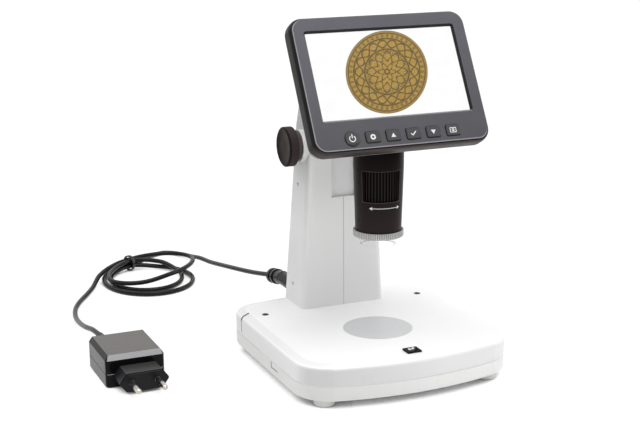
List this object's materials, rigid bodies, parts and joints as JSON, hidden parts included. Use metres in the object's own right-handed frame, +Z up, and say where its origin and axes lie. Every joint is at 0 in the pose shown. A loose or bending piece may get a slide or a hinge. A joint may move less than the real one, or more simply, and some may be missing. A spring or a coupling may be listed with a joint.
{
  "type": "digital microscope",
  "caption": "Bench digital microscope with a tilting screen on a rack-focused column, over a lit base plate, with a corded mains adapter.",
  "frame": {"origin": "on the table, under the middle of the base", "axes": "+Z up, the screen faces -Y, +X to its right"},
  "size_m": [0.2725, 0.4243, 0.2556],
  "materials": {
    "white_cover": "satin",
    "pale_tray": "satin",
    "foot_rubber": "matt",
    "steel": "satin",
    "stage_plate": "frosted",
    "board": "satin",
    "light_board": "satin",
    "black_plastic": "satin",
    "rocker": "gloss",
    "bronze": "satin",
    "knob": "satin",
    "head_black": "satin",
    "barrel": "satin",
    "lens": "clear",
    "clear": "clear",
    "display_bezel": "satin",
    "display_back": "satin",
    "screen_glass": "clear",
    "panel": "satin",
    "battery": "satin",
    "keys": "satin",
    "cord": "matt",
    "plug_black": "satin",
    "adapter": "satin",
    "pins": "polished"
  },
  "bodies": {
    "stand": {"base_cover": "white_cover", "base_tray": "pale_tray", "base_feet": "foot_rubber", "base_screws": "steel", "stage_plate": "stage_plate", "stage_light_board": "board", "light_switch_frame": "black_plastic", "clip_bushes": "steel", "column_left": "white_cover", "column_right": "white_cover", "column_screws": "steel", "guide_rods": "steel", "shaft_bushes": "bronze", "power_socket": "black_plastic", "power_plug": "plug_black", "cord_lead": "cord", "cord_loops": "cord", "cord_tie": "plug_black", "cord_tail": "cord", "adapter_boot": "plug_black", "adapter_cover": "adapter", "adapter_base": "adapter", "mains_plug": "adapter", "mains_pins": "pins", "pin_sleeves": "plug_black"},
    "light_rocker": {"light_switch_rocker": "rocker"},
    "focus_drive": {"focus_shaft": "steel", "focus_pinion": "bronze", "focus_knob_left": "knob", "focus_knob_right": "knob"},
    "head": {"focus_carriage": "white_cover", "focus_rack": "bronze", "head_housing": "head_black", "head_lid": "head_black", "head_screws": "steel", "hinge_pin": "steel", "barrel": "barrel", "sensor_board": "board", "ring_light_board": "light_board"},
    "zoom_ring": {"zoom_dial": "black_plastic", "lens_cell": "black_plastic", "objective_lens": "lens"},
    "light_cap": {"clear_cap": "clear"},
    "display": {"display_bezel": "display_bezel", "display_back": "display_back", "screen_glass": "screen_glass", "lcd_panel": "panel", "main_board": "board", "battery": "battery", "key_board": "board", "display_screws": "steel", "card_socket": "steel"},
    "power_key": {"power_button": "keys"},
    "menu_key": {"menu_button": "keys"},
    "up_key": {"up_button": "keys"},
    "ok_key": {"ok_button": "keys"},
    "down_key": {"down_button": "keys"},
    "camera_key": {"camera_button": "keys"}
  },
  "joints": [
    {"name": "focus_travel", "type": "slide", "parent": "stand", "child": "head", "axis": [0, 0, 1], "range_m": [-0.035, 0.01]},
    {"name": "focus_turn", "type": "hinge", "parent": "stand", "child": "focus_drive", "pos_m": [0, 0.0575, 0.1544], "axis": [1, 0, 0], "range_deg": [-96, 335]},
    {"name": "display_tilt", "type": "hinge", "parent": "head", "child": "display", "pos_m": [0, -0.00893, 0.20651], "axis": [-1, 0, 0], "range_deg": [-8, 30]},
    {"name": "zoom_turn", "type": "hinge", "parent": "head", "child": "zoom_ring", "pos_m": [0, -0.0155, 0.14], "axis": [0, 0, 1], "range_deg": [-40, 140]},
    {"name": "cap_turn", "type": "hinge", "parent": "head", "child": "light_cap", "pos_m": [0, -0.0155, 0.103], "axis": [0, 0, 1], "range_deg": [0, 60]},
    {"name": "light_switch", "type": "hinge", "parent": "stand", "child": "light_rocker", "pos_m": [0, -0.07, 0.0304], "axis": [0, 1, 0], "range_deg": [0, 14]},
    {"name": "power_press", "type": "slide", "parent": "display", "child": "power_key", "axis": [0, 0.8721, -0.4894], "range_m": [0, 0.0005], "stiffness_N_per_m": 400, "springref_m": -0.0005},
    {"name": "menu_press", "type": "slide", "parent": "display", "child": "menu_key", "axis": [0, 0.8721, -0.4894], "range_m": [0, 0.0005], "stiffness_N_per_m": 400, "springref_m": -0.0005},
    {"name": "up_press", "type": "slide", "parent": "display", "child": "up_key", "axis": [0, 0.8721, -0.4894], "range_m": [0, 0.0005], "stiffness_N_per_m": 400, "springref_m": -0.0005},
    {"name": "ok_press", "type": "slide", "parent": "display", "child": "ok_key", "axis": [0, 0.8721, -0.4894], "range_m": [0, 0.0005], "stiffness_N_per_m": 400, "springref_m": -0.0005},
    {"name": "down_press", "type": "slide", "parent": "display", "child": "down_key", "axis": [0, 0.8721, -0.4894], "range_m": [0, 0.0005], "stiffness_N_per_m": 400, "springref_m": -0.0005},
    {"name": "camera_press", "type": "slide", "parent": "display", "child": "camera_key", "axis": [0, 0.8721, -0.4894], "range_m": [0, 0.0005], "stiffness_N_per_m": 400, "springref_m": -0.0005}
  ],
  "couplings": [
    {"joint": "focus_turn", "follows": "focus_travel", "rad_per_m": -166.67}
  ]
}
